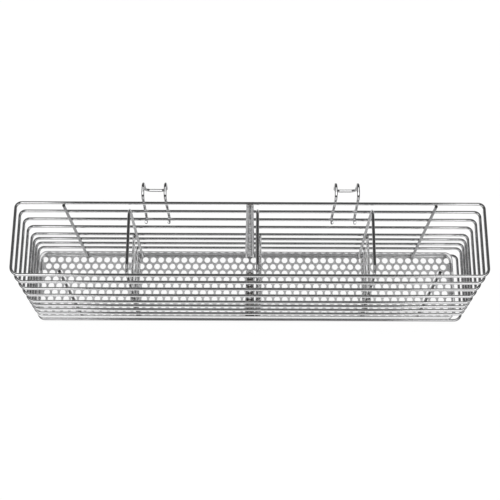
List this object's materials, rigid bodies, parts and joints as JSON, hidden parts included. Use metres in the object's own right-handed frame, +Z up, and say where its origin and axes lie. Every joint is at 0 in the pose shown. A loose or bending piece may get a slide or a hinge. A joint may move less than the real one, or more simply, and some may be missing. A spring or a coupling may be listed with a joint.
{
  "type": "hanging utensil drying rack",
  "caption": "Long narrow wire rack with arched dividers, a perforated drain tray and swinging hooks behind; it stands utensils upright to drain.",
  "frame": {"origin": "on the standing plane, under the middle of the whole object with its hooks", "axes": "+X along the length to the right, +Y from the front wall to the hooks behind, +Z up"},
  "size_m": [0.3824, 0.08, 0.1337],
  "materials": {
    "wire_steel": "polished stainless wire",
    "tray_steel": "satin stainless sheet, perforated",
    "hook_steel": "polished stainless wire"
  },
  "bodies": {
    "basket": {"ring_1": "wire_steel", "ring_2": "wire_steel", "ring_3": "wire_steel", "ring_4": "wire_steel", "ring_5": "wire_steel", "ring_6": "wire_steel", "ring_7": "wire_steel", "ring_8": "wire_steel", "ring_9": "wire_steel", "rib_front_left": "wire_steel", "rib_front_centre_left": "wire_steel", "rib_front_centre_right": "wire_steel", "rib_front_right": "wire_steel", "rib_back_left": "wire_steel", "rib_back_centre_left": "wire_steel", "rib_back_centre_right": "wire_steel", "rib_back_right": "wire_steel", "divider_left_frame": "wire_steel", "divider_left_cross_1": "wire_steel", "divider_left_cross_2": "wire_steel", "divider_left_cross_3": "wire_steel", "divider_middle_frame": "wire_steel", "divider_middle_cross_1": "wire_steel", "divider_middle_cross_2": "wire_steel", "divider_middle_cross_3": "wire_steel", "divider_right_frame": "wire_steel", "divider_right_cross_1": "wire_steel", "divider_right_cross_2": "wire_steel", "divider_right_cross_3": "wire_steel", "tray_floor": "tray_steel", "tray_band": "tray_steel"},
    "left_hook": {"hook_left": "hook_steel"},
    "right_hook": {"hook_right": "hook_steel"}
  },
  "joints": [
    {"name": "left_hook_swing", "type": "hinge", "parent": "basket", "child": "left_hook", "pos_m": [-0.07769, 0.02293, 0.09005], "axis": [-1, 0, 0], "range_deg": [0, 135]},
    {"name": "right_hook_swing", "type": "hinge", "parent": "basket", "child": "right_hook", "pos_m": [0.07869, 0.02293, 0.09005], "axis": [-1, 0, 0], "range_deg": [0, 135]}
  ]
}
